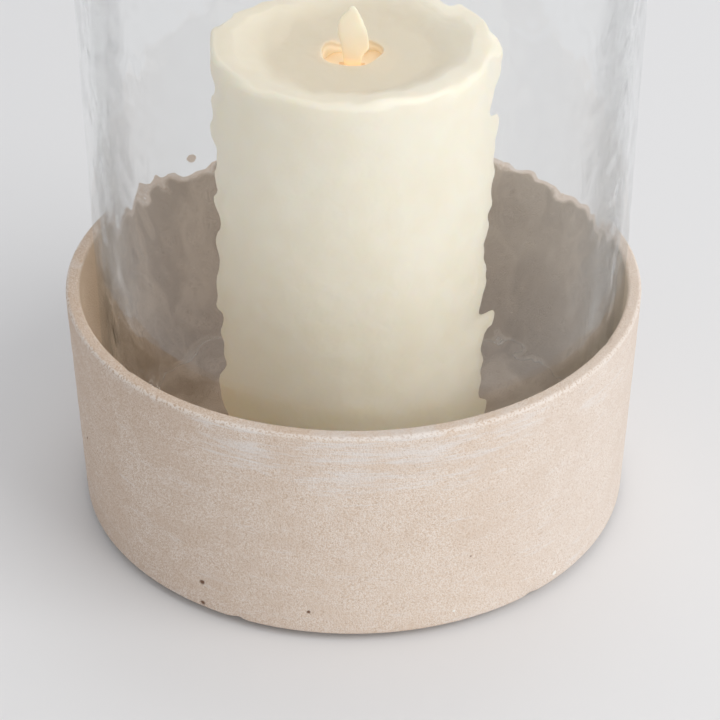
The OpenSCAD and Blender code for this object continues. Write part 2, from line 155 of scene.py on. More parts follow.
def arc(x, z, radius, start, end, count):
    """That many points on an arc about (x, z), from the start angle to the end angle in degrees."""
    turn = np.radians(np.linspace(start, end, count))
    return np.stack([x + radius * np.cos(turn), z + radius * np.sin(turn)], -1)


def resample(corners, step):
    """Points every step, or a little less, along the polyline through the corners. Each corner is
    kept, so short arcs keep their shape."""
    runs = []
    for start, end in zip(corners[:-1], corners[1:]):
        pieces = max(1, math.ceil(np.linalg.norm(end - start) / step))
        runs.append(start + (end - start) * np.arange(pieces)[:, None] / pieces)
    return np.concatenate(runs + [corners[-1:]])


def lathe(profile, around, centre_x=0.0):
    """Turns a profile of points [radius, height] about the upright axis at centre_x. Returns the
    rings and the angle of each place round them."""
    angle = np.arange(around) / around * TAU
    radius, height = profile[:, :1], profile[:, 1:]
    rings = np.stack([centre_x + radius * np.cos(angle), radius * np.sin(angle),
                      height + 0 * angle], -1)
    return rings, angle


def move_out(rings, angle, distance):
    """Moves each point of the rings away from the upright axis by that distance."""
    rings[..., 0] += distance * np.cos(angle)
    rings[..., 1] += distance * np.sin(angle)


def wobble(angle, height, seed, waves, lobes, reach):
    """A smooth uneven surface between -1 and 1: the mean of sine waves, each with a whole number of
    lobes round the axis, up to lobes, and up to one cycle per reach of height."""
    random = np.random.default_rng(seed)
    total = 0.0
    for _ in range(waves):
        turns = random.integers(0, lobes + 1)
        climb = random.uniform(-1, 1) / reach
        total = total + np.sin(turns * angle + TAU * climb * height + random.uniform(0, TAU))
    return total / waves


def dimples(angle, height, radius, size, seed):
    """Hammer marks: the depth, from 0 on a ridge to 1 in a hollow, of round-bottomed dimples whose
    centres are a jittered grid of about the size, wrapped round a cylinder of that radius. The
    rise out of the hollows is minus soft times the logarithm of a sum over the nine nearest
    centres: the exponential of minus the square of the distance over soft, times a strength that
    makes some marks weaker than others."""
    soft = 0.20
    full_rise = 0.55      # where a ridge is reached
    random = np.random.default_rng(seed)
    columns = round(TAU * radius / size)
    rows = math.ceil((height.max() - height.min()) / size) + 4
    jitter = random.uniform(-0.40, 0.40, (rows, columns, 2))
    strength = random.uniform(0.35, 1.0, (rows, columns))
    u = (angle / TAU % 1) * columns + 0 * height
    v = (height - height.min()) / size + 2 + 0 * angle
    total = 0.0
    for up in (-1, 0, 1):
        for along in (-1, 0, 1):
            row = np.clip(np.floor(v).astype(int) + up, 0, rows - 1)
            column = np.floor(u).astype(int) + along
            shift = jitter[row, column % columns]
            centre_u = column + 0.5 + shift[..., 0] + 0.5 * (row % 2)
            centre_v = row + 0.5 + shift[..., 1]
            square = (u - centre_u) ** 2 + (v - centre_v) ** 2
            total = total + strength[row, column % columns] * np.exp(-square / soft)
    return 1 - np.clip(-soft * np.log(total + 1e-9) / full_rise, 0, 1)


# ------------------------------------------------------------------ materials
class Value:
    """A shader socket. Sums, differences, products and powers of values add Math nodes."""

    def __init__(self, paint, socket):
        self.paint, self.socket = paint, socket

    def maths(self, operation, first, second):
        return self.paint.node("ShaderNodeMath", {"operation": operation}, {0: first, 1: second})

    def __add__(self, other):
        return self.maths("ADD", self, other)

    def __radd__(self, other):
        return self.maths("ADD", other, self)

    def __sub__(self, other):
        return self.maths("SUBTRACT", self, other)

    def __rsub__(self, other):
        return self.maths("SUBTRACT", other, self)

    def __mul__(self, other):
        return self.maths("MULTIPLY", self, other)

    def __rmul__(self, other):
        return self.maths("MULTIPLY", other, self)

    def __pow__(self, other):
        return self.maths("POWER", self, other)

    def most(self, other):
        return self.maths("MAXIMUM", self, other)


class Paint:
    """One material. Its settings are those of the Principled shader's sockets."""

    def __init__(self, name, **settings):
        self.material = bpy.data.materials.new(name)
        self.material.use_nodes = True
        self.tree = self.material.node_tree
        self.shader = self.tree.nodes["Principled BSDF"]
        self.place = self.node("ShaderNodeTexCoord", {}, {}, "Object")
        for key, value in settings.items():
            self.shader.inputs[key.replace("_", " ")].default_value = value

    def node(self, kind, settings, inputs, output=0):
        """Adds a node: its settings first, then the values or links of its inputs."""
        made = self.tree.nodes.new(kind)
        for key, value in settings.items():
            setattr(made, key, value)
        for key, value in inputs.items():
            if isinstance(value, Value):
                self.tree.links.new(value.socket, made.inputs[key])
            else:
                made.inputs[key].default_value = value
        return Value(self, made.outputs[output])

    def axes(self):
        """The x, y and z of the place on the piece."""
        across = self.node("ShaderNodeSeparateXYZ", {}, {0: self.place}, "X")
        outputs = across.socket.node.outputs
        return across, Value(self, outputs["Y"]), Value(self, outputs["Z"])

    def stretched(self, x, y, z):
        """The place, scaled along each axis."""
        return self.node("ShaderNodeVectorMath", {"operation": "MULTIPLY"},
                         {0: self.place, 1: (x, y, z)})

    def noise(self, size, detail=2.0, rough=0.5, at=None, warp=0.0):
        """Fractal noise from 0 to 1 with features of about that size."""
        return self.node("ShaderNodeTexNoise", {},
                         {"Vector": at or self.place, "Scale": 1 / size, "Detail": detail,
                          "Roughness": rough, "Distortion": warp})

    def step(self, value, start, end):
        """0 below start, 1 above end, smooth between; start may be above end."""
        return self.node("ShaderNodeMapRange", {"interpolation_type": "SMOOTHSTEP"},
                         {"Value": value, "From Min": start, "From Max": end})

    def mix(self, share, first, second):
        """A colour that goes from first to second; either is a value or a tuple of three."""
        first, second = ((*colour, 1.0) if isinstance(colour, tuple) else colour
                         for colour in (first, second))
        return self.node("ShaderNodeMix", {"data_type": "RGBA"}, {0: share, 6: first, 7: second}, 2)

    def spot(self, centre, radius):
        """1 at the centre of a round spot, 0 outside it."""
        away = self.node("ShaderNodeVectorMath", {"operation": "DISTANCE"},
                         {0: self.place, 1: centre}, "Value")
        return self.step(away, radius, radius * 0.4)

    def feed(self, **sockets):
        """Links values to the shader's sockets."""
        for key, value in sockets.items():
            self.tree.links.new(value.socket, self.shader.inputs[key.replace("_", " ")])

    def bump(self, height, depth, strength):
        """Relief of that depth in metres, which goes to the shader's normal."""
        relief = self.node("ShaderNodeBump", {},
                           {"Height": height, "Distance": depth, "Strength": strength})
        self.feed(Normal=relief)


# ------------------------------------------------------------------ the clay bowl
CLAY_WARM = (0.695, 0.555, 0.445)
CLAY_PALE = (0.72, 0.585, 0.475)
CLAY_DARK_AND_SHADE = (0.44, 0.30, 0.205)
CLAY_DEEP = (0.36, 0.24, 0.16)
CLAY_BARE = (0.44, 0.34, 0.262)
CLAY_BARE_PALE = (0.65, 0.54, 0.45)
CLAY_BARE_PAINTED_LIGHT = (0.84, 0.66, 0.51)
PIT_PAINTED_SHADE = (0.17, 0.09, 0.055)
LIME_DUST_AND_HIGHLIGHT = (0.90, 0.84, 0.79)
LIME_BRUSHED_AND_PAINTED_LIGHT = (0.80, 0.765, 0.745)
LIME_GRAIN = (0.90, 0.87, 0.83)
LIME_CRUMB = (0.90, 0.88, 0.84)

# marks on the outer wall: angle in degrees, height and radius in millimetres
PITS = [(-121.2, 14.8, 1.2), (-121.3, 5.0, 1.2), (-98.7, 12.7, 0.8), (-67, 33, 0.6),
        (35, 22, 1.1), (110, 55, 0.9), (160, 14, 1.2), (-160, 40, 0.8), (75, 70, 0.7)]
CRUMBS = [(-45.5, 6.9, 1.3), (-70, 9, 0.8), (20, 60, 0.7), (140, 30, 0.9)]
# chips: angle, depth in millimetres, and True on the rim's inner edge, False on the foot's edge
CHIPS = [(-113.4, 1.0, False), (-52, 0.8, False), (64, 1.2, False), (-28, 0.9, True),
         (-140, 0.7, True), (38, 0.8, True), (122, 1.0, True)]
CHIP_LENGTH = 2.2 * MM
PIT_DEPTH = 0.7           # a pit's depth over its radius


def wall_point(angle, height, sunk):
    """The place at that angle in degrees and height in millimetres that is sunk by so many
    millimetres into the bowl's outer wall."""
    share = height * MM / RIM_Z
    radius = RIM_R - BOWL_TAPER * (1 - share) - sunk * MM
    turn = math.radians(angle)
    return (radius * math.cos(turn), radius * math.sin(turn), height * MM)


def brushed(paint, colour, cloud, hairs):
    """Adds level brush marks of lime: a band of them below the rim, mostly in front, and faint ones
    everywhere."""
    x, y, z = paint.axes()
    strokes = paint.noise(24 * MM, 5, 0.62, paint.stretched(1, 1, 9), 0.3)
    band = paint.step(z, RIM_Z - 30 * MM, RIM_Z - 12 * MM)
    middle = paint.step(x, 78 * MM, 36 * MM) * paint.step(x, -64 * MM, -14 * MM)
    front = middle * paint.step(y, 0.0, -30 * MM)
    where = band * (0.14 + 0.30 * front + (cloud - 0.5) * 1.6)
    marks = (strokes - 0.5) * 2.0 + (hairs - 0.5) * 1.3 + where - 0.12
    colour = paint.mix(paint.step(marks, 0.02, 0.66) * 0.62, colour, LIME_BRUSHED_AND_PAINTED_LIGHT)
    faint = paint.step(hairs + (strokes - 0.5), 0.5, 0.8)
    return paint.mix(faint * 0.10, colour, LIME_BRUSHED_AND_PAINTED_LIGHT)


def rubbed_rim_with_highlight(paint, colour, grain, radius, z):
    """Darkens the rim's flat a little, and rubs its outer edge white: lime worn into the edge, with
    a painted highlight along it.
    """
    flat = paint.step(z, RIM_Z - 1.2 * MM, RIM_Z - 0.3 * MM)
    colour = paint.mix(flat * 0.22, colour, CLAY_DARK_AND_SHADE)
    near_edge = paint.step(radius, RIM_R - 1.5 * MM, RIM_R - 0.8 * MM)
    edge = near_edge * paint.step(z, RIM_Z - 1.9 * MM, RIM_Z - 0.9 * MM)
    # Painted highlight along the rim's outer edge, together with lime rubbed into it.
    return paint.mix(edge * paint.step(grain, 0.38, 0.60) * 0.6, colour, LIME_DUST_AND_HIGHLIGHT)


def bare_inside(paint, colour, grain, radius, z):
    """Leaves the inside and the underside as bare clay, in two cloudy tones, with painted light
    that makes the inner wall paler at each side.
    """
    x, _, _ = paint.axes()
    in_r = RIM_R - BOWL_WALL
    inside = paint.step(radius, in_r + 0.9 * MM, in_r - 0.2 * MM)
    inside = inside * paint.step(z, RIM_Z - 0.2 * MM, RIM_Z - 2.5 * MM)
    turned = paint.noise(30 * MM, 2, 0.5, paint.stretched(1, 1, 0.6), 0.8)
    tone = paint.step(turned + (grain - 0.5) * 0.4, 0.34, 0.66)
    bare = paint.mix(tone, CLAY_BARE, CLAY_BARE_PALE)
    # Painted light on the inner wall: paler towards the right and at the far left.
    bare = paint.mix(paint.step(x, 20 * MM, 90 * MM) * 0.38, bare, LIME_BRUSHED_AND_PAINTED_LIGHT)
    bare = paint.mix(paint.step(x, -84 * MM, -100 * MM) * 0.6, bare, CLAY_BARE_PAINTED_LIGHT)
    return paint.mix(inside * 0.9, colour, bare)


def limewashed_clay():
    """Fired clay under a thin wash of lime. The wash lies as a fine broken film of dust in drifts,
    and as brush marks in a band below the rim. Painted shade darkens the left side and painted
    light pales the right. The rim's outer edge is rubbed white and carries a painted highlight, the
    inside is bare with painted light at each side, and there are a few pits, painted dark as shade,
    and crumbs."""
    paint = Paint("limewashed_clay", Roughness=0.92, Specular_IOR_Level=0.2)
    x, y, z = paint.axes()
    radius = (x * x + y * y) ** 0.5
    cloud = paint.noise(36 * MM, 3, 0.55)
    drift = paint.noise(17 * MM, 4, 0.6, paint.stretched(1, 1, 1.6), 0.4)
    grain = paint.noise(0.82 * MM, 2, 0.6)
    sand = paint.noise(0.5 * MM, 1, 0.5)
    hairs = paint.noise(7 * MM, 4, 0.6, paint.stretched(1, 1, 13))

    tone = paint.step(cloud + (grain - 0.5) * 0.3, 0.32, 0.66)
    colour = paint.mix(tone, CLAY_WARM, CLAY_PALE)
    # Painted shade darkens the left side, and painted light pales the right side.
    colour = paint.mix(paint.step(x, 8 * MM, -88 * MM) * 0.35, colour, CLAY_DARK_AND_SHADE)
    colour = paint.mix(paint.step(x, 25 * MM, 95 * MM) * 0.30, colour, LIME_BRUSHED_AND_PAINTED_LIGHT)

    film = paint.step((grain - 0.5) ** 2, 0.0040, 0.0002)
    drifts = paint.step(drift + (cloud - 0.5) * 0.5, 0.34, 0.62)
    colour = paint.mix(film * (0.37 + 0.27 * drifts), colour, LIME_DUST_AND_HIGHLIGHT)
    colour = paint.mix(paint.step(grain, 0.44, 0.30) * 0.20, colour, CLAY_DARK_AND_SHADE)
    colour = brushed(paint, colour, cloud, hairs)
    colour = rubbed_rim_with_highlight(paint, colour, grain, radius, z)

    grains = paint.step(sand, 0.70, 0.78) * paint.step(cloud, 0.35, 0.6)
    colour = paint.mix(grains * 0.4, colour, LIME_GRAIN)
    colour = paint.mix(paint.step(sand, 0.34, 0.26) * 0.3, colour, CLAY_DEEP)
    colour = bare_inside(paint, colour, grain, radius, z)
    # Painted shade in the hollow of each pit.
    for angle, height, size in PITS:
        pit = paint.spot(wall_point(angle, height, 0.2 + PIT_DEPTH * size), 1.2 * size * MM)
        colour = paint.mix(pit * 0.95, colour, PIT_PAINTED_SHADE)
    for angle, height, size in CRUMBS:
        crumb = paint.spot(wall_point(angle, height, 0.2), size * MM)
        colour = paint.mix(crumb, colour, LIME_CRUMB)
    paint.feed(Base_Color=colour)
    paint.bump(grain * 0.9 + sand * 0.5 + hairs * 0.3, 0.34 * MM, 0.9)
    return paint.material


def bowl_profile():
    """The bowl's section from the middle of its underside, out, up, over the rim and back in."""
    foot_r = RIM_R - BOWL_TAPER
    in_r = RIM_R - BOWL_WALL
    floor_r = in_r - BOWL_DRAFT
    parts = [
        [(0.5 * MM, UNDER_Z), (foot_r - FOOT_RING, UNDER_Z), (foot_r - FOOT_RING, FOOT_Z)],
        arc(foot_r - 1.2 * MM, FOOT_Z + 1.2 * MM, 1.2 * MM, -90, 0, 5),
        arc(RIM_R - 1.6 * MM, RIM_Z - 1.6 * MM, 1.6 * MM, 0, 90, 7),
        arc(in_r + 1.2 * MM, RIM_Z - 1.2 * MM, 1.2 * MM, 90, 180, 6),
        arc(floor_r - 1.5 * MM, FLOOR_Z + 1.5 * MM, 1.5 * MM, 0, -90, 5),
        [(0.5 * MM, FLOOR_Z)],
    ]
    return np.concatenate([np.asarray(part) for part in parts])


def around_wall(angle, where):
    """How far round the bowl's wall each angle is from where, an angle in degrees."""
    return np.angle(np.exp(1j * (angle - math.radians(where)))) * RIM_R


def clay_bowl():
    """The section is turned, then each point moves in towards the axis by a sum of: a slow wobble
    of the wall, up to 0.44 mm; throwing rings, a sine of the height with a wave of 2.6 mm; a fine
    wobble of 0.05 mm; and a Gaussian hollow at each pit. At each chip a Gaussian hollow moves the
    foot's edge in or the rim's inner edge down."""
    profile = resample(bowl_profile(), SURFACE_STEP)
    rings, angle = lathe(profile, BOWL_AROUND)
    radius, height = profile[:, :1], profile[:, 1:]
    wall = np.clip((radius - (RIM_R - BOWL_WALL - 2 * MM)) / (2 * MM), 0, 1)
    uneven = 0.22 * MM * (wobble(angle, height, 3, 9, 7, 0.12) - 1)
    throwing = 0.035 * MM * np.sin(height / (2.6 * MM) * TAU + 0.8 * np.sin(angle * 2))
    grit = 0.05 * MM * wobble(angle, height, 8, 26, 160, 0.006)
    move = wall * (uneven + throwing + grit)
    outside = radius > RIM_R - 3.4 * MM
    for where, level, size in PITS:
        gap = around_wall(angle, where) ** 2 + (height - level * MM) ** 2
        move = move - outside * PIT_DEPTH * MM * size * np.exp(-gap / (size * MM) ** 2)
    for where, depth, on_rim in CHIPS:
        gap = (around_wall(angle, where) / CHIP_LENGTH) ** 2
        if on_rim:
            near = ((radius - (RIM_R - BOWL_WALL)) / (1.1 * MM)) ** 2
            near = near + ((height - RIM_Z) / (1.3 * MM)) ** 2
            rings[..., 2] -= depth * MM * np.exp(-gap - near)
        else:
            near = ((height - FOOT_Z) / (1.4 * MM)) ** 2
            move = move - outside * depth * MM * np.exp(-gap - near)
    move_out(rings, angle, move)
    mesh = rings_to_mesh("clay_bowl", rings, loop=False)
    return add_piece("clay_bowl", mesh, limewashed_clay(), "bowl", "clay", "base_bowl")


# ------------------------------------------------------------------ the glass sleeve
def clear_glass():
    """Clear glass. It mirrors and bends what is seen, but lamps and scattered light pass through it
    as through a thin grey film, so that what stands inside is lit. Seen edge on it is mostly film
    too, unlike real glass, because full refraction made its sides dark and streaky."""
    paint = Paint("hammered_glass", Base_Color=(0.985, 0.99, 0.99, 1), Roughness=0.0,
                  Transmission_Weight=1.0, IOR=1.5)
    film = paint.node("ShaderNodeBsdfTransparent", {}, {"Color": (0.988, 0.991, 0.991, 1)})
    shadow = paint.node("ShaderNodeLightPath", {}, {}, "Is Shadow Ray")
    scattered = paint.node("ShaderNodeLightPath", {}, {}, "Is Diffuse Ray")
    facing = paint.node("ShaderNodeLayerWeight", {}, {"Blend": 0.5}, "Facing")
    share = shadow.most(scattered).most(paint.step(facing, 0.50, 0.85) * 0.83)
    glass = Value(paint, paint.shader.outputs[0])
    both = paint.node("ShaderNodeMixShader", {}, {0: share, 1: glass, 2: film})
    surface = paint.tree.nodes["Material Output"].inputs["Surface"]
    paint.tree.links.new(both.socket, surface)
    return paint.material


def hammered_sleeve():
    """The section is a wall with rounded ends, turned about the sleeve's own axis. The outside
    moves in by a sum of large hammer marks up to 0.19 mm deep, small ones up to 0.075 mm, a broad
    wobble up to 0.34 mm and a drawn-out one of 0.04 mm; the inside wobbles by 0.10 mm. All fade to
    nothing within 12 mm of the two ends."""
    edge = GLASS_WALL / 2
    mid_r = GLASS_R - edge
    outer = np.linspace(FLOOR_Z + edge, GLASS_TOP - edge, SLEEVE_ROWS_OUT)
    inner = np.linspace(GLASS_TOP - edge, FLOOR_Z + edge, SLEEVE_ROWS_IN)
    profile = np.concatenate([
        np.stack([np.full_like(outer, GLASS_R), outer], -1),
        arc(mid_r, GLASS_TOP - edge, edge, 0, 180, 8)[1:-1],
        np.stack([np.full_like(inner, GLASS_R - GLASS_WALL), inner], -1),
        arc(mid_r, FLOOR_Z + edge, edge, 180, 360, 8)[1:-1]])
    rings, angle = lathe(profile, SLEEVE_AROUND, GLASS_X)
    height = profile[:, 1:]
    outside = (profile[:, :1] > GLASS_R - 0.1 * MM) * 1.0
    from_end = np.minimum(height - FLOOR_Z, GLASS_TOP - height)
    fade = np.clip(from_end / (12 * MM), 0, 1)
    large = dimples(angle, height, GLASS_R, 9.5 * MM, 21)
    small = dimples(angle, height, GLASS_R, 5.6 * MM, 34)
    broad = wobble(angle, height, 5, 14, 26, 0.03)
    drawn = wobble(angle, height, 7, 18, 70, 0.11)
    hammered = 0.19 * MM * large + 0.075 * MM * small + 0.17 * MM * (1 - broad) + 0.04 * MM * drawn
    inside = 0.10 * MM * wobble(angle, height, 6, 12, 16, 0.05)
    move = fade * ((1 - outside) * inside - outside * hammered)
    move_out(rings, angle, move)
    mesh = rings_to_mesh("hammered_sleeve", rings, loop=True)
    return add_piece("hammered_sleeve", mesh, clear_glass(), "sleeve", "hammered_glass",
                     "glass_sleeve")


# ------------------------------------------------------------------ the wax pillar
WAX = (0.84, 0.80, 0.685)
WAX_CLOUD = (0.86, 0.83, 0.735)
WAX_FOOT_PAINTED_LIGHT = (0.885, 0.87, 0.80)
WAX_DISH_AND_SHADE = (0.61, 0.53, 0.405)
WAX_PAINTED_GLOW = (0.085, 0.060, 0.018)      # painted glow that stands in for light wandering through the wax
WAX_ROUND_WELL = (0.12, 0.075, 0.015)  # the same round the well and in it, lit by the lamp below
WAX_IN_WELL = (0.14, 0.085, 0.03)


def ivory_wax():
    """Ivory wax, cloudy and soft inside, with painted light that makes it paler towards its foot
    and a faint painted glow all over. Its top is darker, with painted shade on its left half, and
    darker still in the dished top; it is lit a warm brown round the well by the lamp below."""
    paint = Paint("ivory_wax", Subsurface_Weight=0.6, Subsurface_Radius=(0.006, 0.0045, 0.003),
                  Subsurface_Scale=1.0, Roughness=0.42, Specular_IOR_Level=0.45,
                  Emission_Strength=1.0)
    x, y, z = paint.axes()
    radius = (x * x + y * y) ** 0.5
    cloud = paint.noise(26 * MM, 2, 0.55) + paint.noise(8 * MM, 1, 0.5) * 0.8 - 0.4
    colour = paint.mix(paint.step(cloud, 0.2, 0.8), WAX, WAX_CLOUD)
    # Painted light: paler towards the foot, low in the bowl where little light reaches.
    colour = paint.mix(paint.step(z, 95 * MM, 25 * MM) * 0.6, colour, WAX_FOOT_PAINTED_LIGHT)
    lip_in = CANDLE_R - LIP_W
    high_up = paint.step(z, DISH_Z - 3 * MM, DISH_Z - 1 * MM)
    top = high_up * paint.step(radius, CANDLE_R - 0.6 * MM, CANDLE_R - 3.5 * MM)
    dish = high_up * paint.step(radius, lip_in + 2 * MM, lip_in - 13 * MM)
    # The whole top is a little darker, and painted shade makes its left half darker still; the
    # dished top is darker again.
    colour = paint.mix(top * (0.10 + 0.30 * paint.step(x, 36 * MM, 0.0)), colour, WAX_DISH_AND_SHADE)
    colour = paint.mix(dish * 0.68, colour, WAX_DISH_AND_SHADE)
    near_well = paint.step(radius, WELL_R + 7 * MM, WELL_R - 1 * MM)
    near_well = near_well * paint.step(z, DISH_Z - 9 * MM, DISH_Z - 6 * MM)
    in_well = paint.step(radius, WELL_R + 0.9 * MM, WELL_R + 0.1 * MM) * near_well
    glow = paint.mix(near_well, WAX_PAINTED_GLOW, WAX_ROUND_WELL)
    glow = paint.mix(in_well, glow, WAX_IN_WELL)
    paint.feed(Base_Color=colour, Emission_Color=glow,
               Roughness=0.36 + paint.noise(3 * MM, 2, 0.5) * 0.2)
    paint.bump(paint.noise(9 * MM, 2, 0.5) + paint.noise(1.6 * MM, 2, 0.5) * 0.08, 0.9 * MM, 0.6)
    return paint.material


def wax_pillar():
    """The section is turned; the lip runs down to the dished top as half a cosine wave. Then the
    side sinks by a wobble up to 0.7 mm, the lip's inner slope wanders in and out by 0.8 mm and its
    top down by up to 1 mm, and the dish sinks by up to 0.6 mm, as softened wax does."""
    lip_in = CANDLE_R - LIP_W
    roof = DISH_Z - WAX_ROOF
    down = np.linspace(0, 1, 14)
    fall = (1 - np.cos(np.pi * down)) / 2
    lip_slope = np.stack([lip_in + 3.5 * MM - LIP_SLOPE * down, LIP_Z - DISH_DEPTH * fall], -1)
    section = np.concatenate([
        [(CORE_BORE, WAX_BASE_Z)],
        arc(CANDLE_R - 1.2 * MM, WAX_BASE_Z + 1.2 * MM, 1.2 * MM, -90, 0, 5),
        arc(CANDLE_R - 2.4 * MM, LIP_Z - 2.4 * MM, 2.4 * MM, 0, 90, 8),
        lip_slope,
        arc(WELL_R + 0.9 * MM, DISH_Z - 0.9 * MM, 0.9 * MM, 90, 180, 6),
        [(WELL_R, roof), (CORE_BORE, roof), (CORE_BORE, WAX_BASE_Z)]])
    profile = resample(section, SURFACE_STEP)[:-1]
    rings, angle = lathe(profile, WAX_AROUND)
    radius, height = profile[:, :1], profile[:, 1:]
    side = np.clip((radius - (CANDLE_R - 4 * MM)) / (3 * MM), 0, 1)
    swell = side * 0.35 * MM * (wobble(angle, height, 11, 12, 9, 0.07) - 1)
    top = np.clip((height - DISH_Z) / (4 * MM), 0, 1)
    inner = top * np.clip((CANDLE_R - 5 * MM - radius) / (4 * MM), 0, 1)
    wander = inner * 0.8 * MM * wobble(angle, 0 * height, 12, 7, 11, 1.0)
    move_out(rings, angle, swell + wander)
    rings[..., 2] += top * 0.5 * MM * (wobble(angle, 0 * height, 13, 7, 9, 1.0) - 1)
    dish = (height > DISH_Z - 0.5 * MM) & (radius < lip_in) & (radius > WELL_R + 2 * MM)
    rings[..., 2] += dish * 0.3 * MM * (wobble(angle, radius, 14, 9, 6, 0.03) - 1)
    mesh = rings_to_mesh("wax_pillar", rings, loop=True)
    return add_piece("wax_pillar", mesh, ivory_wax(), "candle", "wax", "wax_shell")


# ------------------------------------------------------------------ the hanging flame
FLAME_LOW = (0.86, 0.74, 0.53)
FLAME_HIGH = (0.88, 0.83, 0.70)
FLAME_GLOW_LOW = (0.12, 0.075, 0.03)
FLAME_GLOW_HIGH = (0.07, 0.055, 0.03)
FLAME_GLOW_FOOT = (0.34, 0.17, 0.05)
NECK_HALF = 3 * MM        # half-width of the flat bar over the wire, and the eye's outside radius
TAIL_HALF = 1.5 * MM
EYE_SLACK = 0.06 * MM     # between the wire and the eye


def frosted_flame():
    """Frosted plastic lit from below: amber at its foot, paler towards the tip."""
    paint = Paint("frosted_flame", Roughness=0.55, Subsurface_Weight=0.6,
                  Subsurface_Radius=(0.004, 0.003, 0.002), Subsurface_Scale=0.5,
                  Emission_Strength=1.0)
    _, _, z = paint.axes()
    up = paint.step(z, CORE_TOP - 4 * MM, FLAME_TIP)
    foot = paint.step(z, DISH_Z - 1 * MM, DISH_Z - 5 * MM)
    colour = paint.mix(up, FLAME_LOW, FLAME_HIGH)
    glow = paint.mix(up, FLAME_GLOW_LOW, FLAME_GLOW_HIGH)
    glow = paint.mix(foot, glow, FLAME_GLOW_FOOT)
    paint.feed(Base_Color=colour, Emission_Color=glow)
    paint.bump(paint.noise(1.2 * MM, 2, 0.5), 0.1 * MM, 0.4)
    return paint.material


def flame_lobe():
    """The flame's section at each height is a rounded ellipse. From its foot to its tip, as a share
    goes from 0 to 1, its half-width is 0.86 plus 0.14 of a half sine wave, over 0.97, times a
    closing root, the square root of 1 - share cubed; its half-thickness is 1.25 of that root and
    never over 1. Below its foot it runs on as a flat bar, a round eye about the wire, and a thin
    tail."""
    foot = CORE_TOP - 1 * MM
    half_w = (high("flame_tongue")[0] - low("flame_tongue")[0]) / 2
    half_t = (high("flame_tongue")[1] - low("flame_tongue")[1]) / 2
    share = np.concatenate([np.linspace(0, 0.9, 30), 1 - 0.1 * np.linspace(0.9, 0, 12) ** 2])
    close = np.sqrt(np.clip(1 - share ** 3, 1e-6, 1))
    leaf_w = half_w * (0.86 + 0.14 * np.sin(np.pi * share)) * close / 0.97
    leaf_t = half_t * np.clip(1.25 * close, 0, 1)
    leaf_z = foot + (FLAME_TIP - foot) * share
    neck_z = np.linspace(PIVOT_Z + 0.9 * MM, foot, 14)[:-1]
    straight = PIVOT_Z + 2.5 * MM
    spread = np.clip((neck_z - straight) / (foot - straight), 0, 1)
    neck_w = NECK_HALF + (leaf_w[0] - NECK_HALF) * spread
    tail_z = np.linspace(TAIL_Z, PIVOT_Z - 0.9 * MM, 24)
    taper = np.clip((tail_z - PIVOT_Z + 6 * MM) / (3 * MM), 0, 1)
    tail_w = TAIL_HALF + (NECK_HALF - TAIL_HALF) * taper

    leaf = flat_bar("flame_upper", np.concatenate([neck_z, leaf_z]),
                    np.concatenate([neck_w, leaf_w]),
                    np.concatenate([np.full_like(neck_z, half_t), leaf_t]))
    tail = flat_bar("flame_lower", tail_z, tail_w, np.full_like(tail_z, half_t))
    eye = wire_eye("flame_eye", half_t)
    return join("flame_lobe", [leaf, tail, eye], frosted_flame(), "flame", "flame_plastic",
                "flame_tongue")


def flat_bar(name, height, half_w, half_t):
    """An upright bar whose section at each height is an ellipse with its sides filled out: the
    cosine and sine of the angle are raised to the power 0.75."""
    turn = np.arange(48) / 48 * TAU
    across = np.sign(np.cos(turn)) * np.abs(np.cos(turn)) ** 0.75
    along = np.sign(np.sin(turn)) * np.abs(np.sin(turn)) ** 0.75
    rings = np.stack([half_w[:, None] * across, half_t[:, None] * along,
                      height[:, None] + 0 * turn], -1)
    return rings_to_mesh(name, rings, loop=False)


def wire_eye(name, half_t):
    """A ring of nearly square section, turned about the wire that it hangs on."""
    bore = (high("flame_axle")[2] - low("flame_axle")[2]) / 2 + EYE_SLACK
    section = np.array([(bore, -half_t), (NECK_HALF, -half_t), (NECK_HALF, half_t), (bore, half_t)])
    turn = np.arange(40) / 40 * TAU
    rings = np.stack([section[:, :1] * np.cos(turn), section[:, 1:] + 0 * turn,
                      PIVOT_Z + section[:, :1] * np.sin(turn)], -1)
    return rings_to_mesh(name, rings[::-1], loop=True)


# ------------------------------------------------------------------ carried-over nodes
FELT_DARK = (0.14, 0.12, 0.10)
FELT_PALE = (0.30, 0.26, 0.22)


def moulded(name, colour, rough=0.45, glow=None):
    """Moulded plastic with a fine spark-eroded grain, and a glow if a lamp shines through it."""
    paint = Paint(name, Specular_IOR_Level=0.4)
    cloud = paint.noise(6 * MM, 2, 0.5)
    shade = tuple(c * 0.9 for c in colour)
    paint.feed(Base_Color=paint.mix(cloud, shade, colour), Roughness=rough + cloud * 0.15)
    paint.bump(paint.noise(0.6 * MM, 2, 0.6), 0.04 * MM, 0.6)
    if glow:
        paint.shader.inputs["Emission Color"].default_value = (*glow, 1)
        paint.shader.inputs["Emission Strength"].default_value = 1.0
    return paint.material


def metal(name, colour, rough=0.3):
    """Plated or drawn metal with faint smears."""
    paint = Paint(name, Metallic=1.0)
    smear = paint.noise(2.5 * MM, 3, 0.6, paint.stretched(1, 1, 0.3))
    dull = tuple(c * 0.8 for c in colour)
    paint.feed(Base_Color=paint.mix(smear, dull, colour), Roughness=rough + smear * 0.2)
    return paint.material


def felt():
    """Pressed wool: two tones of tangled fibres."""
    paint = Paint("felt", Roughness=1.0, Specular_IOR_Level=0.1, Sheen_Weight=0.3)
    fibre = paint.noise(0.7 * MM, 4, 0.7, warp=1.5)
    paint.feed(Base_Color=paint.mix(fibre, FELT_DARK, FELT_PALE))
    paint.bump(fibre, 0.4 * MM, 1.0)
    return paint.material


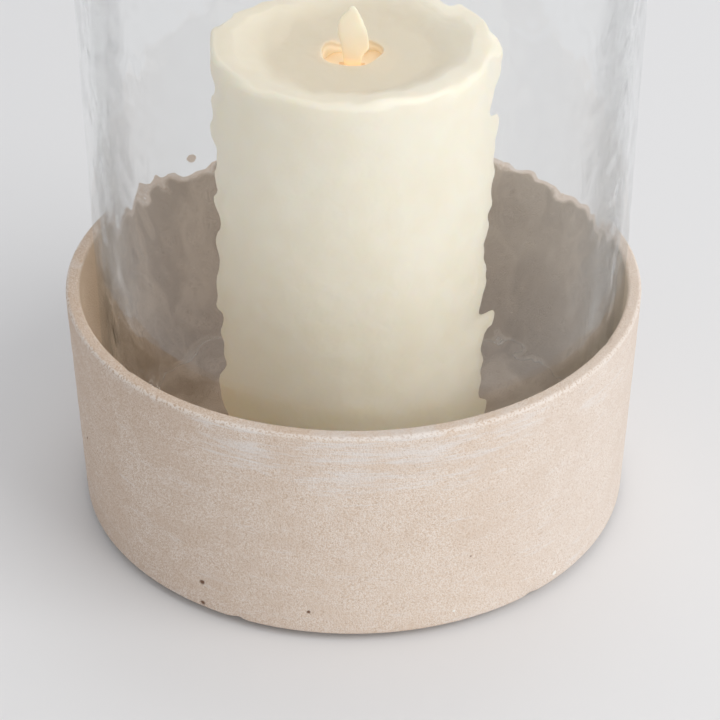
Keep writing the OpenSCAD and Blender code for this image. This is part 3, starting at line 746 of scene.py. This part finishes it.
FINISHES = {
    "felt_pads": felt,
    "core_housing": lambda: moulded("ivory_abs", (0.80, 0.77, 0.68)),
    "battery_box": lambda: moulded("ivory_abs_box", (0.78, 0.75, 0.66)),
    "battery_door": lambda: moulded("ivory_abs_door", (0.78, 0.75, 0.66)),
    "flame_frame": lambda: moulded("ivory_abs_frame", (0.76, 0.72, 0.62)),
    "flame_bezel": lambda: moulded("amber_bezel", (0.78, 0.62, 0.42), glow=(0.30, 0.195, 0.09)),
    "coil_bobbin": lambda: moulded("black_abs", (0.03, 0.03, 0.032)),
    "switch_knob": lambda: moulded("black_knob", (0.03, 0.03, 0.032), 0.35),
    "battery_cells": lambda: moulded("cell_jacket", (0.55, 0.30, 0.10), 0.3),
    "positive_contact": lambda: metal("nickel_tab", (0.72, 0.70, 0.66)),
    "bridge_contact": lambda: metal("nickel_bridge", (0.72, 0.70, 0.66)),
    "switch_body": lambda: metal("tin_can", (0.62, 0.62, 0.63)),
    "negative_spring": lambda: metal("spring_wire", (0.66, 0.66, 0.68)),
    "flame_axle": lambda: metal("axle_wire", (0.66, 0.66, 0.68)),
    "led_leads": lambda: metal("tinned_legs", (0.66, 0.66, 0.68)),
    "board_screws": lambda: metal("zinc_board", (0.60, 0.60, 0.62)),
    "frame_screws": lambda: metal("zinc_frame", (0.60, 0.60, 0.62)),
    "case_screws": lambda: metal("zinc_case", (0.60, 0.60, 0.62)),
    "flame_magnet": lambda: metal("magnet_nickel", (0.70, 0.70, 0.72), 0.15),
    "coil_winding": lambda: metal("copper", (0.65, 0.27, 0.12)),
    "coil_leads": lambda: metal("copper_lead", (0.65, 0.27, 0.12)),
    "power_leads": lambda: moulded("red_wire", (0.45, 0.03, 0.02), 0.3),
    "switch_leads": lambda: moulded("grey_wire", (0.05, 0.05, 0.055), 0.3),
    "circuit_board": lambda: moulded("solder_mask", (0.02, 0.12, 0.05), 0.3),
    "drive_chip": lambda: moulded("chip_epoxy", (0.02, 0.02, 0.022)),
    "capacitor": lambda: moulded("capacitor_sleeve", (0.02, 0.03, 0.09), 0.3),
    "resistors": lambda: moulded("resistor_film", (0.03, 0.03, 0.03), 0.4),
    "led_lamp": lambda: moulded("lamp_epoxy", (0.90, 0.70, 0.35), 0.1, glow=(0.5, 0.3, 0.12)),
}


def finish_nodes():
    """Gives each CAD node that is kept its finish."""
    for node, finish in FINISHES.items():
        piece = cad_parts[node]
        material = finish()
        if not piece.material_slots:
            piece.data.materials.append(material)
        for slot in piece.material_slots:
            slot.material = material


# ------------------------------------------------------------------ the studio
FLOOR_DARK = (0.80, 0.80, 0.812)
FLOOR_PALE = (0.815, 0.815, 0.827)
SKY_COLOUR = (0.975, 0.985, 1.0, 1)
SKY_LIGHTS = 0.57         # strength for the light it gives, and for what is seen
SKY_SEEN = 0.76
LAMP_COLOUR = (1.0, 0.985, 0.96)
MIDDLE = (0, 0, 0.12)     # where the lamps are aimed
CAMERA_PLACE = (2.4 * MM, -694.4 * MM, 517.6 * MM)
LOOK_DOWN = 33.91         # degrees that the camera looks down
LAMPS = [("key", (2.2, -1.26, 2.16), 2.2, 48), ("fill", (1.35, -2.4, 0.95), 2.2, 12),
         ("back", (0.35, 1.65, 2.2), 1.8, 9.5)]   # name, place, size in metres, watts


def studio():
    """A pale floor, an even sky that is brighter where it is seen or mirrored than where it lights,
    a broad key lamp from the right, a low fill in front, and a soft lamp above and behind."""
    half = 14.0
    mesh = bpy.data.meshes.new("studio_floor")
    corners = [(-half, -half, 0), (half, -half, 0), (half, half, 0), (-half, half, 0)]
    mesh.from_pydata(corners, [], [(0, 1, 2, 3)])
    floor = bpy.data.objects.new("studio_floor", mesh)
    bpy.context.scene.collection.objects.link(floor)
    paint = Paint("studio_floor", Roughness=0.75, Specular_IOR_Level=0.2)
    paint.feed(Base_Color=paint.mix(paint.noise(0.5, 2, 0.5), FLOOR_DARK, FLOOR_PALE))
    mesh.materials.append(paint.material)

    world = bpy.data.worlds.new("studio_sky")
    world.use_nodes = True
    sky = world.node_tree.nodes["Background"]
    sky.inputs["Color"].default_value = SKY_COLOUR
    sky.inputs["Strength"].default_value = SKY_LIGHTS
    seen = world.node_tree.nodes.new("ShaderNodeBackground")
    seen.inputs["Color"].default_value = SKY_COLOUR
    seen.inputs["Strength"].default_value = SKY_SEEN
    path = world.node_tree.nodes.new("ShaderNodeLightPath")
    mix = world.node_tree.nodes.new("ShaderNodeMixShader")
    link = world.node_tree.links.new
    link(path.outputs["Is Diffuse Ray"], mix.inputs[0])
    link(seen.outputs[0], mix.inputs[1])
    link(sky.outputs[0], mix.inputs[2])
    link(mix.outputs[0], world.node_tree.nodes["World Output"].inputs["Surface"])
    bpy.context.scene.world = world

    for name, place, size, power in LAMPS:
        lamp(name, place, size, power)


def lamp(name, place, size, power):
    """A square soft lamp that faces the middle of the lantern."""
    light = bpy.data.lights.new(name, "AREA")
    light.size = size
    light.energy = power
    light.color = LAMP_COLOUR
    thing = bpy.data.objects.new(name, light)
    aim = np.array(MIDDLE) - np.array(place)
    thing.location = place
    thing.rotation_euler = (math.acos(-aim[2] / np.linalg.norm(aim)), 0,
                            math.atan2(aim[1], aim[0]) - math.pi / 2)
    bpy.context.scene.collection.objects.link(thing)


def camera():
    """A long lens, in front and above, that looks down into the bowl."""
    lens = bpy.data.cameras.new("camera")
    lens.lens = 108.1
    lens.sensor_width = 36
    lens.clip_start = 0.01
    eye = bpy.data.objects.new("camera", lens)
    eye.location = CAMERA_PLACE
    eye.rotation_euler = (math.radians(90 - LOOK_DOWN), 0, 0)
    bpy.context.scene.collection.objects.link(eye)
    bpy.context.scene.camera = eye


camera()
studio()
bpy.context.scene.view_settings.view_transform = "Standard"
clay_bowl()
hammered_sleeve()
wax_pillar()
flame_lobe()
finish_nodes()
